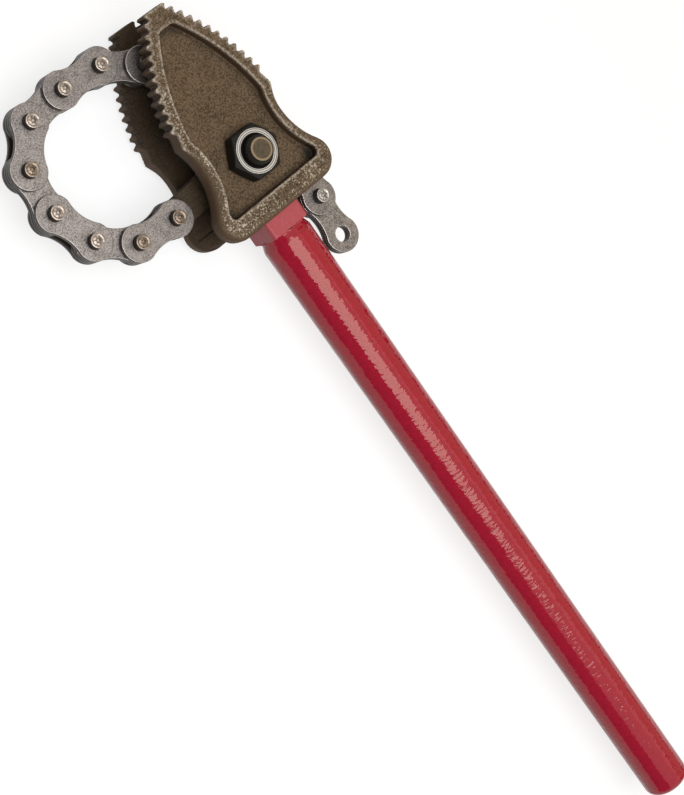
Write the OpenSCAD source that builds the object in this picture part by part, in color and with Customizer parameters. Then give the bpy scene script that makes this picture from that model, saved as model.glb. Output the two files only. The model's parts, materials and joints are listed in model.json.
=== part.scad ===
// Reversible chain pipe wrench: a forged handle, two toothed jaw plates held by
// one hex bolt, and a riveted leaf chain that an anchor link joins to the bolt.
// Millimetres. +Y runs from the handle to the jaw tip, +Z along the bolt towards
// the nut. The origin is the middle of the bolt head's outer face.

/* [Jaws] */
// Bolt axis to the tip of the jaws
jaw_top = 91.2; // [80:0.5:110]
// Bolt axis to the base of the jaws
jaw_base = 35; // [32:0.5:44]
// Thickness of one jaw plate
jaw_t = 11.5; // [9:0.5:15]
// Width of the flat tip
tip_w = 12.6; // [9:0.2:18]
// Half width of the jaw at the last tooth
heel_x = 33.2; // [30:0.2:38]
// Height of the last tooth above the bolt axis
heel_y = 34.6; // [31:0.2:42]
// Radius of the bowed toothed edge
tooth_arc_r = 130; // [90:5:240]
// Teeth on each edge
tooth_count = 11; // [6:1:16]
// Depth of a tooth
tooth_depth = 2.6; // [1.4:0.1:3.2]
// Flat on the tip of a tooth
tooth_tip = 1.3; // [0.6:0.1:1.8]
// Flat in the root between two teeth
tooth_root = 1.0; // [0.5:0.1:1.6]
// Half width of the jaw at its waist beside the bolt
waist_half = 30.5; // [27:0.5:34]
// Height of the waist above the bolt axis
waist_y = 9.5; // [6:0.5:13]
// Radius of the hollow flank
flank_r = 41.5; // [38:0.5:50]
// Height at which the smooth flank gives way to the teeth
shoulder_y = 24; // [20:0.5:28]
// Radius of the corners at the base
corner_r = 12; // [8:0.5:14]
// Rounding of the outer edge on the flanks and the base
rim_round = 4.6; // [2:0.2:5]
// Chamfer of the inner edge on the flanks and the base
inner_chamfer = 1; // [0.4:0.1:1.6]
// Depth of the sunk panel
panel_depth = 6.5; // [2:0.1:7]
// Width of the rim beside the teeth
panel_rim_teeth = 8; // [6:0.5:11]
// Width of the rim beside the flanks
panel_rim_flank = 6.2; // [5.6:0.2:8]
// Width of the rim at the base
panel_rim_base = 12.3; // [9:0.3:15]
// Half width of the sunk panel at its base
panel_foot = 33; // [27:0.5:34]
// Width of the rim at the tip
panel_rim_tip = 11.6; // [8:0.4:18]
// Corner radius of the sunk panel
panel_corner_r = 3; // [1:0.5:4]
// Height of the seat pad on the inner face
pad_h = 1.5; // [0.5:0.1:2.5]
// Top edge of the seat pad above the bolt axis
pad_top = 1; // [-4:0.5:5]
// Margin of the seat pad inside the jaw's outline
pad_margin = 1.5; // [1:0.1:3]
// Width of a chain lug beside the shank
lug_w = 9.4; // [6:0.2:9.6]
// Length of a chain lug along the shank
lug_len = 10; // [6:0.5:10]
// Free gap between facing chain lugs
lug_gap = 17; // [15:0.5:20]
// Corner radius of a chain lug
lug_r = 2; // [0.5:0.5:2.5]
// Distance from the middle at which the lip across a base corner begins
lip_x = 25; // [24:0.5:29]
// Width of the lip across a base corner
lip_w = 8; // [5:0.5:9]
// Free gap between facing lips
lip_gap = 24; // [23.6:0.1:25.5]

/* [Handle] */
// Width of the square shank
shank_w = 26.5; // [24:0.5:27.5]
// Thickness of the shank, which sets the jaws apart
shank_t = 26; // [24:0.5:34]
// Length of the square collar that shows below the jaws
collar_len = 12; // [6:0.5:20]
// Chamfer along the shank's edges
shank_chamfer = 1.6; // [0.5:0.1:3]
// Bolt axis to the end of the handle
handle_len = 460; // [300:5:600]
// Radius of the grip where it leaves the collar
grip_neck_r = 13.7; // [12:0.1:14.5]
// Length over which the neck swells to the full grip
grip_neck_len = 6; // [3:0.5:12]
// Largest radius of the grip
grip_r = 15.3; // [14.6:0.1:16]
// Radius of the grip at its end
grip_end_r = 14.2; // [11:0.1:14.6]
// Rounding of the end of the grip
grip_end_round = 5; // [2:0.5:9]
// Side play of the anchor link in the fork, each side
fork_clear = 0.3; // [0.1:0.1:0.6]
// Room between the anchor link's eye and the floor of the fork
fork_floor = 2.2; // [1.8:0.1:3]

/* [Bolt] */
// Diameter of the bolt
bolt_d = 16; // [12:1:18]
// Width across the flats of the head and the nut
bolt_af = 27; // [24:0.5:30]
// Height of the bolt head
head_h = 10; // [8:0.5:13]
// Height of the nut
nut_h = 11; // [7:0.5:14]
// Bolt end standing out of the nut
bolt_out = 5.5; // [3:0.5:10]
// Chamfer on the bolt end
bolt_point = 1.6; // [0.8:0.1:2]
// Pitch of the bolt's thread
thread_pitch = 2; // [1.5:0.25:2.5]
// Depth of the thread that shows on the bolt end
thread_depth = 0.9; // [0.4:0.1:1.2]
// Play of the bolt in the jaws and the shank, each side
bolt_clear = 0.3; // [0.1:0.05:0.6]
// Width of the sunk mouth of the nut beyond the thread, each side
nut_mouth = 1.7; // [0.6:0.1:1.9]

/* [Chain] */
// Pitch of the chain
pitch = 25.4; // [25:0.1:26]
// Height of a link plate
plate_h = 21; // [19:0.2:21.4]
// Height of a link plate at its waist
plate_waist = 15.8; // [13:0.2:17]
// Thickness of a link plate
plate_t = 3.2; // [2.6:0.1:3.4]
// Diameter of the chain pins
pin_d = 8; // [7:0.1:8.6]
// Pin standing out beyond the outer plate
pin_out = 4.8; // [3:0.1:5]
// Chamfer on the pin ends
pin_chamfer = 0.7; // [0.3:0.1:1.2]
// Running clearance of a pin or the bolt in a plate, on the radius
run_clear = 0.06; // [0.02:0.01:0.1]
// Play between inner and outer plates
side_clear = 0.1; // [0.05:0.05:0.2]
// Hole in the last link
end_hole_d = 9; // [8.4:0.1:11]
// Diameter of the anchor link's eye on the bolt
anchor_eye = 25; // [22:0.5:25.5]
// Width of the anchor link
anchor_w = 17; // [14:0.5:17.5]

/* [Hidden] */
$fn = 96;
eps = 0.01;
// How far a raised part runs into the body it stands on
sink = 1.2;
links = 15;
// Length over which the edge rounding fades out below the shoulder
round_fade = 14;
// Diameter of the turned face of the head and the nut, as a share of the width across the flats
hex_face = 0.9;
// Turn at each joint in degrees, from the bolt to the loose end, as the chain
// lies round the pipe space and back between the jaws.
turn = [185, -9, -33, -33, -26, -34, -42, -11, -28, -17, -11, -11, -11, -11, 3];

function two(k) = k < 10 ? str("0", k) : str(k);
function plate_name(k, side) = str("link", two(k), side > 0 ? "_front_plate" : "_rear_plate");
function pin_name(k) = str("pin", two(k));
function heading(k) = k == 1 ? turn[0] : heading(k - 1) + turn[k - 1];
function joint(k) = k == 0 ? [0, 0]
    : joint(k - 1) + (k == 1 ? anchor_len : pitch) * [cos(heading(k)), sin(heading(k))];
function is_outer(k) = k % 2 == 0;

// Levels along the bolt
rear_face = head_h - panel_depth;
mid_z = rear_face + jaw_t + pad_h + shank_t / 2;
nut_z = mid_z + shank_t / 2 + pad_h + jaw_t - panel_depth;
bolt_end = nut_z + nut_h + bolt_out;

// Jaw outline: base, corner arc, hollow flank arc, toothed arc, flat tip
flank_c = [waist_half + flank_r, waist_y];
corner_y = corner_r - jaw_base;
corner_c = [flank_c.x - sqrt(pow(flank_r + corner_r, 2) - pow(flank_c.y - corner_y, 2)), corner_y];
join_a = atan2(flank_c.y - corner_c.y, flank_c.x - corner_c.x);
shoulder_a = 180 - asin((shoulder_y - waist_y) / flank_r);
tip_p = [tip_w / 2, jaw_top];
heel_p = [heel_x, heel_y];
chord = heel_p - tip_p;
tooth_c = (tip_p + heel_p) / 2
    - [-chord.y, chord.x] / norm(chord) * sqrt(pow(tooth_arc_r, 2) - pow(norm(chord) / 2, 2));
tip_a = atan2(tip_p.y - tooth_c.y, tip_p.x - tooth_c.x);
heel_a = atan2(heel_p.y - tooth_c.y, heel_p.x - tooth_c.x);
tooth_step = (tip_a - heel_a) / tooth_count;
tip_half = tooth_tip / 2 / tooth_arc_r * 180 / PI;
root_half = tooth_root / 2 / tooth_arc_r * 180 / PI;

// An outline point holds its place, its inward normal and how much of the edge rounding it takes
function smooth(t) = let (u = min(1, max(0, t))) u * u * (3 - 2 * u);
function corner_pt(a) = concat(corner_c + corner_r * [cos(a), sin(a)], -[cos(a), sin(a)], [1]);
function flank_pt(a) = let (p = flank_c + flank_r * [cos(a), sin(a)])
    concat(p, [cos(a), sin(a)], [smooth((shoulder_y - p.y) / round_fade)]);
function tooth_pt(a, depth) = concat(tooth_c + (tooth_arc_r - depth) * [cos(a), sin(a)], -[cos(a), sin(a)], [0]);
half_outline = concat(
    [for (i = [0 : 12]) corner_pt(-90 + (join_a + 90) * i / 12)],
    [for (i = [1 : 14]) flank_pt(180 + join_a + (shoulder_a - 180 - join_a) * i / 14)],
    [tooth_pt(heel_a - tooth_step * 0.5 - root_half, tooth_depth),
     tooth_pt(heel_a - tooth_step * 0.5 + root_half, tooth_depth)],
    [for (k = [0 : tooth_count - 1]) let (a = heel_a + k * tooth_step, m = a + tooth_step / 2)
        each [tooth_pt(a - tip_half, 0), tooth_pt(a + tip_half, 0),
              tooth_pt(m - root_half, tooth_depth), tooth_pt(m + root_half, tooth_depth)]],
    [tooth_pt(tip_a - tip_half * 2, 0), tooth_pt(tip_a, 0)]);
half_n = len(half_outline);
outline = concat(half_outline, [for (i = [half_n - 1 : -1 : 0]) let (p = half_outline[i])
    [-p[0], p[1], -p[2], p[3], p[4]]]);
outline_n = len(outline);

// Section of the plate's edge: inset and height, from the inner face to the outer face
round_steps = 6;
face_trim = 0.05;
edge = concat([[inner_chamfer + face_trim, -face_trim], [0, inner_chamfer]],
    [for (i = [0 : round_steps]) let (a = 90 * i / round_steps)
        [rim_round * (1 - cos(a)), jaw_t - rim_round * (1 - sin(a)) + face_trim * i / round_steps]]);
edge_n = len(edge);

// Chain plate: two round ends with hollow sides
plate_r = plate_h / 2;
hollow_bite = 0.12;
hollow_to = plate_r - hollow_bite;
hollow_r = (pow(pitch / 2, 2) + pow(plate_waist / 2, 2) - pow(hollow_to, 2)) / (2 * hollow_to - plate_waist);
hollow_y = plate_waist / 2 + hollow_r;
touch = (plate_r - hollow_bite / 2) / (hollow_to + hollow_r);
touch_x = pitch / 2 * touch;
touch_y = hollow_y * touch;
outer_z = plate_t + side_clear;
chain_half = outer_z + plate_t;
pin_half = chain_half + pin_out;
pin_r = pin_d / 2;
anchor_r = anchor_eye / 2;
anchor_len = 2 * pitch;

// Handle
eye_r = shank_w / 2;
collar_end = jaw_base + collar_len;
slot_w = 2 * (chain_half + fork_clear);
hex_r = bolt_af / 2 / cos(30);
lug_clear = 0.1;
lug_in = 0.5;

// Smooth outline of a jaw, drawn in by a margin
module jaw_shape(margin) {
    polygon([for (p = outline) [p[0] + p[2] * margin, p[1] + p[3] * margin]]);
}

// Jaw plate as a loft of its outline, trimmed to its two faces; the rounding fades out at the teeth
module jaw_blank() {
    points = [for (e = edge) for (p = outline) [p[0] + p[2] * e[0] * p[4], p[1] + p[3] * e[0] * p[4], e[1]]];
    sides = [for (j = [0 : edge_n - 2]) for (i = [0 : outline_n - 1])
        let (a = j * outline_n + i, b = j * outline_n + (i + 1) % outline_n)
        each [[a, b + outline_n, b], [a, a + outline_n, b + outline_n]]];
    inner = [[for (i = [0 : outline_n - 1]) i]];
    outer = [[for (i = [outline_n - 1 : -1 : 0]) (edge_n - 1) * outline_n + i]];
    intersection() {
        polyhedron(points = points, faces = concat(inner, sides, outer));
        translate([-2 * heel_x, -2 * jaw_base, 0]) cube([4 * heel_x, 3 * jaw_base + jaw_top, jaw_t]);
    }
}

// Sunk panel that follows the toothed edges and flares with the flanks to the base
module panel_shape() {
    offset(r = panel_corner_r) offset(delta = -panel_corner_r) difference() {
        union() {
            intersection() {
                translate([tooth_c.x, tooth_c.y]) circle(tooth_arc_r - panel_rim_teeth, $fn = 360);
                translate([-tooth_c.x, tooth_c.y]) circle(tooth_arc_r - panel_rim_teeth, $fn = 360);
                translate([-2 * heel_x, waist_y - sink])
                    square([4 * heel_x, jaw_top - panel_rim_tip - waist_y + sink]);
            }
            translate([-panel_foot, panel_rim_base - jaw_base])
                square([2 * panel_foot, waist_y + jaw_base - panel_rim_base]);
        }
        for (s = [-1, 1]) translate([s * flank_c.x, flank_c.y]) circle(flank_r + panel_rim_flank, $fn = 180);
    }
}

// Low seat on the inner face that the shank is clamped between
module seat_shape() {
    intersection() {
        jaw_shape(pad_margin);
        translate([-2 * heel_x, -jaw_base]) square([4 * heel_x, jaw_base + pad_top]);
    }
    circle(eye_r + pad_margin);
}

// Rounded block beside the shank that catches the chain's pin ends
module lug_shape() {
    translate([eye_r + lug_clear + lug_r, pad_margin + lug_in + lug_r - jaw_base]) offset(r = lug_r)
        square([lug_w - 2 * lug_r, lug_len - 2 * lug_r]);
}

// Low lip across a base corner that guides the chain
module lip_shape() {
    intersection() {
        jaw_shape(pad_margin + lug_in);
        translate([lip_x, -jaw_base]) square([2 * heel_x, pad_margin + lug_in + lip_w]);
    }
}

// Jaw with its inner face at z = 0 and its outer face up
module jaw() {
    difference() {
        union() {
            difference() {
                jaw_blank();
                translate([0, 0, jaw_t - panel_depth]) linear_extrude(panel_depth + 1) panel_shape();
            }
            translate([0, 0, -pad_h]) linear_extrude(pad_h + sink) seat_shape();
            for (s = [0, 1]) mirror([s, 0, 0]) {
                translate([0, 0, -(shank_t - lug_gap) / 2 - pad_h])
                    linear_extrude((shank_t - lug_gap) / 2 + pad_h + sink) lug_shape();
                translate([0, 0, -(shank_t - lip_gap) / 2 - pad_h])
                    linear_extrude((shank_t - lip_gap) / 2 + pad_h + sink) lip_shape();
            }
        }
        translate([0, 0, -shank_t]) cylinder(r = bolt_d / 2 + bolt_clear, h = shank_t + 2 * jaw_t);
    }
}

module front_jaw() {
    color("#5d5344") translate([0, 0, mid_z + shank_t / 2 + pad_h]) jaw();
}

module rear_jaw() {
    color("#5d5344") translate([0, 0, mid_z - shank_t / 2 - pad_h]) mirror([0, 0, 1]) jaw();
}

// Chamfered square section of the shank
module shank_section() {
    w = shank_w / 2;
    t = shank_t / 2;
    c = shank_chamfer;
    polygon([[w - c, -t], [w, c - t], [w, t - c], [w - c, t], [c - w, t], [-w, t - c], [-w, c - t], [c - w, -t]]);
}

// Square shank with a round fork end that takes the anchor link
module shank() {
    difference() {
        union() {
            rotate([90, 0, 0]) linear_extrude(collar_end) shank_section();
            translate([0, 0, -shank_t / 2]) cylinder(r = eye_r, h = shank_t);
        }
        translate([0, 0, -shank_t]) cylinder(r = bolt_d / 2 + bolt_clear, h = 2 * shank_t);
        translate([-shank_w, -anchor_r - fork_floor, -slot_w / 2])
            cube([2 * shank_w, anchor_r + fork_floor + shank_w, slot_w]);
    }
}

// Round grip, turned about its own axis: a short swelling neck, a long taper and a rounded end
module grip() {
    neck = [for (i = [0 : 6]) let (t = i / 6)
        [grip_neck_r + (grip_r - grip_neck_r) * smooth(t), collar_end + grip_neck_len * t]];
    foot = [for (i = [0 : 8]) let (a = 90 * i / 8)
        [grip_end_r - grip_end_round * (1 - cos(a)), handle_len - grip_end_round * (1 - sin(a))]];
    rotate([90, 0, 0]) rotate_extrude()
        polygon(concat([[0, collar_end - eps], [grip_neck_r, collar_end - eps]], neck, foot, [[0, handle_len]]));
}

module handle() {
    color("#b3202e") translate([0, 0, mid_z]) {
        shank();
        grip();
    }
}

// Hexagon with its corners turned off at the ends
module hex_body(h, low, high) {
    r = bolt_af / 2 * hex_face;
    drop = (hex_r - r) * tan(30);
    intersection() {
        cylinder(r = hex_r, h = h, $fn = 6);
        rotate_extrude() polygon([[0, 0], [low ? r : hex_r, 0], [hex_r, low ? drop : 0],
            [hex_r, h - (high ? drop : 0)], [high ? r : hex_r, h], [0, h]]);
    }
}

// Bolt: hex head below, plain shank, and a threaded end above the nut
module jaw_bolt() {
    r = bolt_d / 2;
    turns = floor((bolt_out - bolt_point) / thread_pitch);
    crest = thread_pitch * 0.2;
    thread = [for (i = [turns : -1 : 1]) let (z = bolt_end - bolt_point - i * thread_pitch)
        each [[r, z + crest], [r - thread_depth, z + thread_pitch / 2], [r, z + thread_pitch - crest]]];
    color("#4a443c") {
        hex_body(head_h, true, false);
        rotate_extrude() polygon(concat([[0, head_h - eps], [r, head_h - eps]], thread,
            [[r, bolt_end - bolt_point], [r - bolt_point, bolt_end], [0, bolt_end]]));
    }
}

// Nut with a turned bearing ring on top
module jaw_nut() {
    color("#2b2926") translate([0, 0, nut_z]) difference() {
        hex_body(nut_h, true, true);
        translate([0, 0, -1]) cylinder(r = bolt_d / 2, h = nut_h + 2);
        translate([0, 0, nut_h - nut_mouth])
            cylinder(r1 = bolt_d / 2, r2 = bolt_d / 2 + nut_mouth * 1.1, h = nut_mouth * 1.1);
    }
}

// Outline of a common link plate along +X with a hole at each end
module plate_shape(hole_a, hole_b) {
    difference() {
        union() {
            circle(plate_r);
            translate([pitch, 0]) circle(plate_r);
            translate([touch_x, -touch_y]) square([pitch - 2 * touch_x, 2 * touch_y]);
        }
        for (s = [-1, 1]) translate([pitch / 2, s * hollow_y]) circle(hollow_r, $fn = 180);
        circle(hole_a);
        translate([pitch, 0]) circle(hole_b);
    }
}

// Forged anchor link: a thick eye on the bolt and a flat bar that runs out to the first chain pin
module anchor_link() {
    color("#54483a") translate([0, 0, mid_z]) rotate([0, 0, heading(1)]) difference() {
        union() {
            translate([0, 0, -chain_half]) cylinder(r = anchor_r, h = 2 * chain_half);
            translate([0, 0, -plate_t]) linear_extrude(2 * plate_t) {
                translate([0, -anchor_w / 2]) square([anchor_len, anchor_w]);
                translate([anchor_len, 0]) circle(plate_r);
            }
        }
        translate([0, 0, -shank_t]) cylinder(r = bolt_d / 2 + run_clear, h = 2 * shank_t);
        translate([anchor_len, 0, -shank_t]) cylinder(r = pin_r + run_clear, h = 2 * shank_t);
    }
}

// One plate of link k; side is +1 for the nut side and -1 for the head side
module link_plate(k, side) {
    low = is_outer(k) ? outer_z : 0;
    color(is_outer(k) ? "#a9a7a4" : "#989693") translate([joint(k - 1).x, joint(k - 1).y, mid_z])
        rotate([0, 0, heading(k)]) translate([0, 0, side > 0 ? low : -low - plate_t]) linear_extrude(plate_t)
            if (is_outer(k)) plate_shape(pin_r, pin_r);
            else plate_shape(pin_r + run_clear, k == links ? end_hole_d / 2 : pin_r + run_clear);
}

// Riveted pin of joint k, chamfered and centre-marked at both ends
module chain_pin(k) {
    mark = pin_r * 0.3;
    color("#8f887f") translate([joint(k).x, joint(k).y, mid_z]) rotate_extrude()
        polygon([[0, mark / 2 - pin_half], [mark, -pin_half], [pin_r - pin_chamfer, -pin_half],
            [pin_r, pin_chamfer - pin_half], [pin_r, pin_half - pin_chamfer],
            [pin_r - pin_chamfer, pin_half], [mark, pin_half], [0, pin_half - mark / 2]]);
}

handle();
front_jaw();
rear_jaw();
jaw_bolt();
jaw_nut();
anchor_link();
for (k = [2 : links]) for (side = [1, -1])
    link_plate(k, side);
for (k = [1 : links - 1])
    chain_pin(k);
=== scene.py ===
"""Chain pipe wrench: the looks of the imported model, laid out as an add-on and run as a script."""

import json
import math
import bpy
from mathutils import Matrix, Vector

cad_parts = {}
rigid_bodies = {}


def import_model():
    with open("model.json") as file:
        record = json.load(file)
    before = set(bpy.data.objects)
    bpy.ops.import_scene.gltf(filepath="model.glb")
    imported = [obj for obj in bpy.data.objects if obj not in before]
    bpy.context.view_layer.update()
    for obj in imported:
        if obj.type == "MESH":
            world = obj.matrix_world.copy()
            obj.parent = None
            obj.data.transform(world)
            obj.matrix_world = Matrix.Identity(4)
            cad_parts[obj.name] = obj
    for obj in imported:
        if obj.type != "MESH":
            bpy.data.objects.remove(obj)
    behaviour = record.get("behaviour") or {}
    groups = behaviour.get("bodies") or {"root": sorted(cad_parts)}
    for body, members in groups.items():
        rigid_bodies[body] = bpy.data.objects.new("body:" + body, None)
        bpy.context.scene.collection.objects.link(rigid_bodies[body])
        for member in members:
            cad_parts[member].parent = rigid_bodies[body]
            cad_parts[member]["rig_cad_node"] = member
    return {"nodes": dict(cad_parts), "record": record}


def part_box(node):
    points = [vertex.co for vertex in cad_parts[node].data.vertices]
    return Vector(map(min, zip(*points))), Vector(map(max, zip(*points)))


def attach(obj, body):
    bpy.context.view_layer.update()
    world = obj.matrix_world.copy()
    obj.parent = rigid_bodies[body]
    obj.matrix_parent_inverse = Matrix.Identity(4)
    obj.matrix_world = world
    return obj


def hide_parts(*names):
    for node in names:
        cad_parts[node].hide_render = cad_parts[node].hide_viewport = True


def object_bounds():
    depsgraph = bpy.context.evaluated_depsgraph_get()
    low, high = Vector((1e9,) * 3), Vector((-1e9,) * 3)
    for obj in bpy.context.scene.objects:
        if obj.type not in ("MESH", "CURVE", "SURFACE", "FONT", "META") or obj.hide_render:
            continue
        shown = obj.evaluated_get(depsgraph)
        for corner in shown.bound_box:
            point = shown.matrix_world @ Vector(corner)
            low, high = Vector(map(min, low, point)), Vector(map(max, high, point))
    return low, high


bl_info = {
    "name": "Chain Pipe Wrench",
    "version": (1, 0, 0),
    "blender": (4, 5, 0),
    "location": "View3D > Sidebar > Wrench",
    "description": "Forged jaws, painted handle, riveted chain and studio for the packed chain pipe wrench",
    "category": "Object",
}

import bpy
from bpy.props import FloatProperty, FloatVectorProperty, IntProperty, PointerProperty
from mathutils import Matrix, Vector

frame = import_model()
CAD_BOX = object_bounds()
MM = 0.001

FORGINGS = ("front_jaw", "rear_jaw", "anchor_link")
PLATES = sorted(n for n in frame["nodes"] if n.endswith("_plate"))
PINS = sorted(n for n in frame["nodes"] if n.startswith("pin"))
# most pins are plain; these kept a brown heat tint, and the last one is bright
BROWN_PINS = ("pin01", "pin02", "pin05")
END_PIN = PINS[-1]
# halfway through the handle's thickness, where the chain runs between the jaws
MIDDLE = sum(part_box("handle"), Vector()).z / 2
BODY_OF = {n: body for body, names in frame["record"]["behaviour"]["bodies"].items() for n in names}

# corners closer than this are one corner
SAME_POINT = 0.001 * MM
# faces that bend less than the first angle are one face, edges that bend more than the second are sharp
FLAT_ANGLE = math.radians(1)
SHARP_ANGLE = math.radians(35)
# facets across a rounded edge, and how firmly a large face keeps its shading flat
EDGE_STEPS = 2
FLAT_WEIGHT = 100

# against the finish's colour: dull patches, pin sides in painted shade, plate edges and bolt rim as painted
# highlights
DULL = 0.55
PIN_SIDE_SHADE = 0.12
PLATE_EDGE_GLINT = 2.2
BOLT_RIM_GLINT = 2.4

# what the lamps and the camera point at, and the sizes of the floor and the flags in metres
LIGHT_AIM = Vector((0, -0.12, 0.03))
CAMERA_AIM = Vector((-29.16 * MM, -141.37 * MM, MIDDLE))
FLOOR_SIZE = 12
FLAG_LENGTH = 5


def linear(code):
    """Turn an sRGB hex colour into linear red, green and blue."""
    steps = [int(code[i:i + 2], 16) / 255 for i in (1, 3, 5)]
    return tuple(s / 12.92 if s <= 0.04045 else ((s + 0.055) / 1.055) ** 2.4 for s in steps)


WHITE = linear("#ffffff")


def toned(colour, brightness):
    """Make a linear colour darker or lighter."""
    return [min(1, c * brightness) for c in colour]


def put(tree, kind, inputs=None, **settings):
    """Add one node with its settings, its input values and the sockets linked to it.

    A Mix of colours has its share at input 0, the two colours at 6 and 7 and the result at output 2.
    """
    made = tree.nodes.new(kind)
    for name, value in settings.items():
        setattr(made, name, value)
    for key, value in (inputs or {}).items():
        socket = made.inputs[key]
        if isinstance(value, bpy.types.NodeSocket):
            tree.links.new(value, socket)
        elif socket.type == "RGBA" and len(value) == 3:
            socket.default_value = (*value, 1.0)
        else:
            socket.default_value = value
    return made


def new_material(name):
    """Start an empty node material and give its tree."""
    material = bpy.data.materials.new(name)
    material.use_nodes = True
    material.node_tree.nodes.clear()
    return material, material.node_tree


def colour_prop(name, description, code):
    """Setting for a colour, given as sRGB hex."""
    return FloatVectorProperty(name=name, description=description, subtype="COLOR", size=3,
                               min=0, max=1, default=linear(code))


def length_prop(name, description, mm):
    """Setting for a length, given in millimetres."""
    return FloatProperty(name=name, description=description, subtype="DISTANCE", unit="LENGTH",
                         min=0, default=mm * MM)


def angle_prop(name, description, degrees):
    """Setting for an angle, given in degrees."""
    return FloatProperty(name=name, description=description, subtype="ANGLE", unit="ROTATION",
                         default=math.radians(degrees))


class ForgingSettings(bpy.types.PropertyGroup):
    """Jaw and anchor forgings"""

    brown: colour_prop("Brown", "Oil-browned scale on the forging", "#78634c")
    dark: colour_prop("Dark", "Darker scale between the grains", "#3d3121")
    # painted shade: the darker colour of steep walls, where less light falls
    wall_shade: colour_prop("Wall", "Scale on the steep walls", "#604b37")
    # painted shade: the dark colour of the faces between the jaws, which lie in shadow
    inner: colour_prop("Inner", "Oily scale on the faces between the jaws", "#33291d")
    # painted shade: the near-black colour drawn into hollows, corners and along walls
    hollow_shade: colour_prop("Soot", "Oily soot in the hollows", "#15110c")
    # bare steel from wear, and painted highlights, on the rim, edges and crests
    worn_and_glint: colour_prop("Worn", "Bare steel on the crests", "#d2c5b3")
    voxel: length_prop("Voxel", "Cell of the forged skin", 0.5)
    uneven: length_prop("Unevenness", "Height of the hammer scale", 0.16)
    hammer: length_prop("Hammer scale", "Spacing of the hammer scale", 3.5)
    # how far the painted shade reaches out of a hollow
    hollow: length_prop("Hollow", "How far soot creeps out of a hollow", 8)
    # how far the wear and painted highlight reach in from an edge
    crest: length_prop("Crest", "How far an edge is rubbed bare", 2)
    inner_face: length_prop("Inner face", "Distance of the jaws' inner faces from the middle", 14.5)
    blotch: length_prop("Blotch", "Size of the uneven patches of scale and wear", 11)
    grain: length_prop("Grain", "Size of the blasted grain", 0.9)
    relief: length_prop("Relief", "Height of the blasted grain", 0.5)
    fleck: length_prop("Fleck", "Size of a bare fleck", 1)


class PaintSettings(bpy.types.PropertyGroup):
    """Handle paint"""

    red: colour_prop("Red", "Enamel on the handle", "#ad2136")
    deep: colour_prop("Deep red", "Thicker enamel", "#a51f34")
    # painted highlight: paler enamel standing in for the soft box's sheen on the collar's flat top
    collar_sheen: colour_prop("Chalky red", "Dull enamel on the square collar", "#ae4a53")
    gloss: colour_prop("Gloss", "Warm tint of the enamel's gloss", "#fff1df")
    edge: length_prop("Edge", "Rounding of the shank's long edges", 0.6)
    ripple: length_prop("Ripple", "Spacing of the fine ripple in the enamel", 2)
    sag: length_prop("Sag", "Spacing of the slow waves in the enamel", 9)
    relief: length_prop("Relief", "Height of the ripple", 0.26)
    collar: length_prop("Collar", "Length of the square collar below the jaws", 12)
    blend: length_prop("Blend", "Half the width over which the collar's enamel gives way", 0.5)


class ChainSettings(bpy.types.PropertyGroup):
    """Chain plates and pins"""

    plate: colour_prop("Plate", "Tumbled plate steel", "#8f8884")
    plate_dark: colour_prop("Plate shade", "Dull marks on the plates", "#544e4a")
    # painted shade: dark colour of the plates' sides and of faces hidden between plates
    plate_side_shade: colour_prop("Blanked edge", "Oily sides of the plates", "#342c24")
    brown_pin: colour_prop("Browned pin", "Pin ends with a brown heat tint", "#857668")
    pin: colour_prop("Pin", "Plain pin ends", "#a0948a")
    bright_pin: colour_prop("Bright pin", "Pin in the last joint", "#aaa49e")
    edge: length_prop("Edge", "Rounding of the blanked edges", 0.55)
    mark: length_prop("Mark", "Size of the marks that tumbling leaves", 0.9)
    mark_depth: length_prop("Mark depth", "Depth of the marks that tumbling leaves", 0.05)
    patch: length_prop("Patch", "Size of the duller patches on a plate", 5)
    tint: length_prop("Tint", "Size of the patches of heat tint on a pin", 1.3)
    spokes: IntProperty(name="Spokes", description="Punch marks on a riveted end", min=3, max=12, default=6)


class FastenerSettings(bpy.types.PropertyGroup):
    """Bolt and nut"""

    black: colour_prop("Black", "Black oxide on the nut and the thread", "#211e1a")
    ring: colour_prop("Ring", "Turned face of the nut", "#c4c0bb")
    bolt: colour_prop("Bolt", "Browned bolt end", "#5f5240")
    edge: length_prop("Edge", "Rounding of the machined edges", 0.3)
    turning: length_prop("Turning", "Spacing of the lathe rings on the nut", 1.2)
    face_share: FloatProperty(name="Face share", subtype="FACTOR", min=0, max=1, default=0.9,
                              description="Turned face against the width across the flats")
    face_over: length_prop("Face overlap", "How far the brightness reaches past the turned face", 0.15)
    face_depth: length_prop("Face depth", "How far the brightness reaches below the nut's top", 0.45)
    ring_width: length_prop("Ring width", "Width of the nut's turned face", 2.3)
    oxide: length_prop("Oxide", "Size of the grain in the nut's oxide", 1.1)
    relief: length_prop("Relief", "Height of the grain in the nut's oxide", 0.08)
    grain: length_prop("Grain", "Size of the grain on the bolt", 1.2)
    rim_inner: length_prop("Rim inner radius", "Inner radius of the bolt end's worn rim", 5.3)
    rim_outer: length_prop("Rim outer radius", "Outer radius of the bolt end's worn rim", 6.5)
    rim_blend: length_prop("Rim blend", "Half the width over which the worn rim starts", 0.3)


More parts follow.
